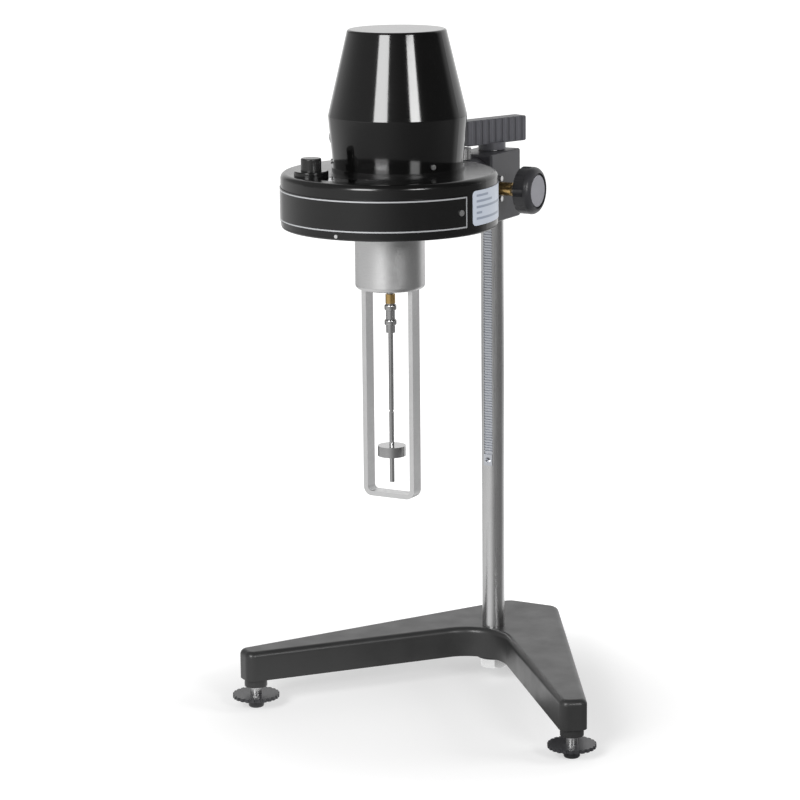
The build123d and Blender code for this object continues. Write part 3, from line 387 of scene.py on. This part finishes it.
FLOOR_HALF_SIZE = 30
FLOOR_GLOW = 0.5
FLOOR_DIFFUSE = 0.5
# Share of the floor's colour that reflections see: painted shade that keeps the floor dark in the
# hood's reflection
FLOOR_GLOSSY_SHARE = 0.2
SHADOW_NEAR, SHADOW_FAR = 0.1, 0.36
# Ring about the object where the floor's painted reflection glow is dimmed: painted shade in
# reflections
DIM_BAND_REACH = 1.3
DIM_BAND_INNER, DIM_BAND_OUTER = 0.15, 0.55
DIM_BAND_LEVEL = 0.35
LEFT_BEARING = AZIMUTH + math.radians(-80)
BEHIND_BEARING = AZIMUTH + math.radians(165)
BEHIND_EDGE = (0.4, 0.9)
LEFT_EDGE = (-0.35, 0.9)
LEFT_LEVEL = 0.8
DIM_LEVEL = 0.12
HIGH_EDGE = (0.0, 0.3)
HIGH_SHARE = 0.5
HOOD_MIDDLE = Vector((0, HOOD_Y, 0.44))
LAMP_DISTANCE = 2.2


def along(tree, direction, bearing):
    """How far a direction points towards a bearing."""
    node = tree.nodes.new("ShaderNodeVectorMath")
    node.operation = "DOT_PRODUCT"
    node.inputs[1].default_value = (math.sin(bearing), -math.cos(bearing), 0.0)
    tree.links.new(direction, node.inputs[0])
    return node.outputs["Value"]


def surroundings(tree, direction):
    """Level of the room in a direction: white behind the object, bright left, dim right."""
    behind = map_range(tree, along(tree, direction, BEHIND_BEARING), *BEHIND_EDGE, 0.0, 1.0)
    left = map_range(tree, along(tree, direction, LEFT_BEARING), *LEFT_EDGE, DIM_LEVEL, LEFT_LEVEL)
    height = tree.nodes.new("ShaderNodeSeparateXYZ")
    tree.links.new(direction, height.inputs[0])
    lower = map_range(tree, height.outputs["Z"], *HIGH_EDGE, 1.0, HIGH_SHARE)
    return math_node(tree, "MAXIMUM", behind, math_node(tree, "MULTIPLY", left, lower))


def studio_floor():
    """Pale floor: white far off, grey near the object so that its shadow shows; to glossy rays it is
    darker and glows with a painted reflection of the room, brighter to the left and dimmer in a
    ring.
    """
    size = FLOOR_HALF_SIZE
    corners = [(-size, -size, 0), (size, -size, 0), (size, size, 0), (-size, size, 0)]
    mesh = bpy.data.meshes.new("floor")
    mesh.from_pydata(corners, [], [(0, 1, 2, 3)])
    floor = bpy.data.objects.new("floor", mesh)
    scene.collection.objects.link(floor)
    shader = Shader("floor")
    tree = shader.tree
    path = shader.add("ShaderNodeLightPath")
    glossy = path.outputs["Is Glossy Ray"]
    # The floor is darker to glossy rays only: painted shade in reflections
    painted_dark_floor_in_reflections = grey(FLOOR_DIFFUSE * FLOOR_GLOSSY_SHARE)
    shader.set(Base_Color=shader.mix(glossy, grey(FLOOR_DIFFUSE), painted_dark_floor_in_reflections))
    shader.set(Roughness=1.0, Specular_IOR_Level=0.0)
    direction = shader.add("ShaderNodeVectorMath", operation="NORMALIZE")
    put(tree, direction.inputs[0], shader.coordinates)
    distance = shader.polar(0.0)[0]
    # Glow seen only in reflections, brighter to the left and behind: a painted reflection of the
    # room
    painted_room_reflection = shader.math("MULTIPLY", glossy, surroundings(tree, direction.outputs[0]))
    from_band = shader.math("ABSOLUTE", shader.math("SUBTRACT", distance, DIM_BAND_REACH))
    band = map_range(tree, from_band, DIM_BAND_INNER, DIM_BAND_OUTER, DIM_BAND_LEVEL, 1.0)
    painted_room_reflection = shader.math("MULTIPLY", painted_room_reflection, band)
    seen = shader.math("MAXIMUM", path.outputs["Is Camera Ray"], path.outputs["Is Transmission Ray"])
    near_to_far = map_range(tree, distance, SHADOW_NEAR, SHADOW_FAR, FLOOR_GLOW, 1.0)
    seen = shader.math("MULTIPLY", seen, near_to_far)
    glow = shader.add("ShaderNodeEmission")
    put(tree, glow.inputs["Strength"], shader.math("ADD", seen, painted_room_reflection))
    both = shader.add("ShaderNodeAddShader")
    tree.links.new(shader.principled.outputs[0], both.inputs[0])
    tree.links.new(glow.outputs[0], both.inputs[1])
    tree.links.new(both.outputs[0], tree.nodes["Material Output"].inputs["Surface"])
    mesh.materials.append(shader.material)


def studio_world():
    """White to the camera, and otherwise the room's surroundings."""
    world = bpy.data.worlds.new("studio")
    scene.world = world
    world.use_nodes = True
    tree = world.node_tree
    background = tree.nodes["Background"]
    background.inputs["Color"].default_value = (1, 1, 1, 1)
    coordinates = tree.nodes.new("ShaderNodeTexCoord")
    path = tree.nodes.new("ShaderNodeLightPath")
    level = surroundings(tree, coordinates.outputs["Generated"])
    level = math_node(tree, "MAXIMUM", level, path.outputs["Is Camera Ray"])
    tree.links.new(level, background.inputs["Strength"])


def softbox(name, bearing, elevation, width, height, radiance):
    """Rectangular lamp that faces the hood, placed by its bearing from the camera's side."""
    rise = math.radians(elevation)
    direction = upright_direction(AZIMUTH + math.radians(bearing), rise)
    data = bpy.data.lights.new(name, "AREA")
    data.shape = "RECTANGLE"
    data.size = width
    data.size_y = height
    data.energy = radiance * math.pi * width * height
    lamp = bpy.data.objects.new(name, data)
    scene.collection.objects.link(lamp)
    lamp.location = HOOD_MIDDLE + direction * LAMP_DISTANCE
    lamp.rotation_euler = direction.to_track_quat("Z", "Y").to_euler()
    return lamp


softbox("left_softbox", -29, 20, 0.85, 0.9, 16.0)
softbox("right_softbox", 30, 16, 0.6, 0.45, 20.0)
softbox("right_fill", 85, 12, 1.0, 1.0, 7.5).visible_glossy = False
studio_floor()
studio_world()
scene.view_settings.view_transform = "Standard"
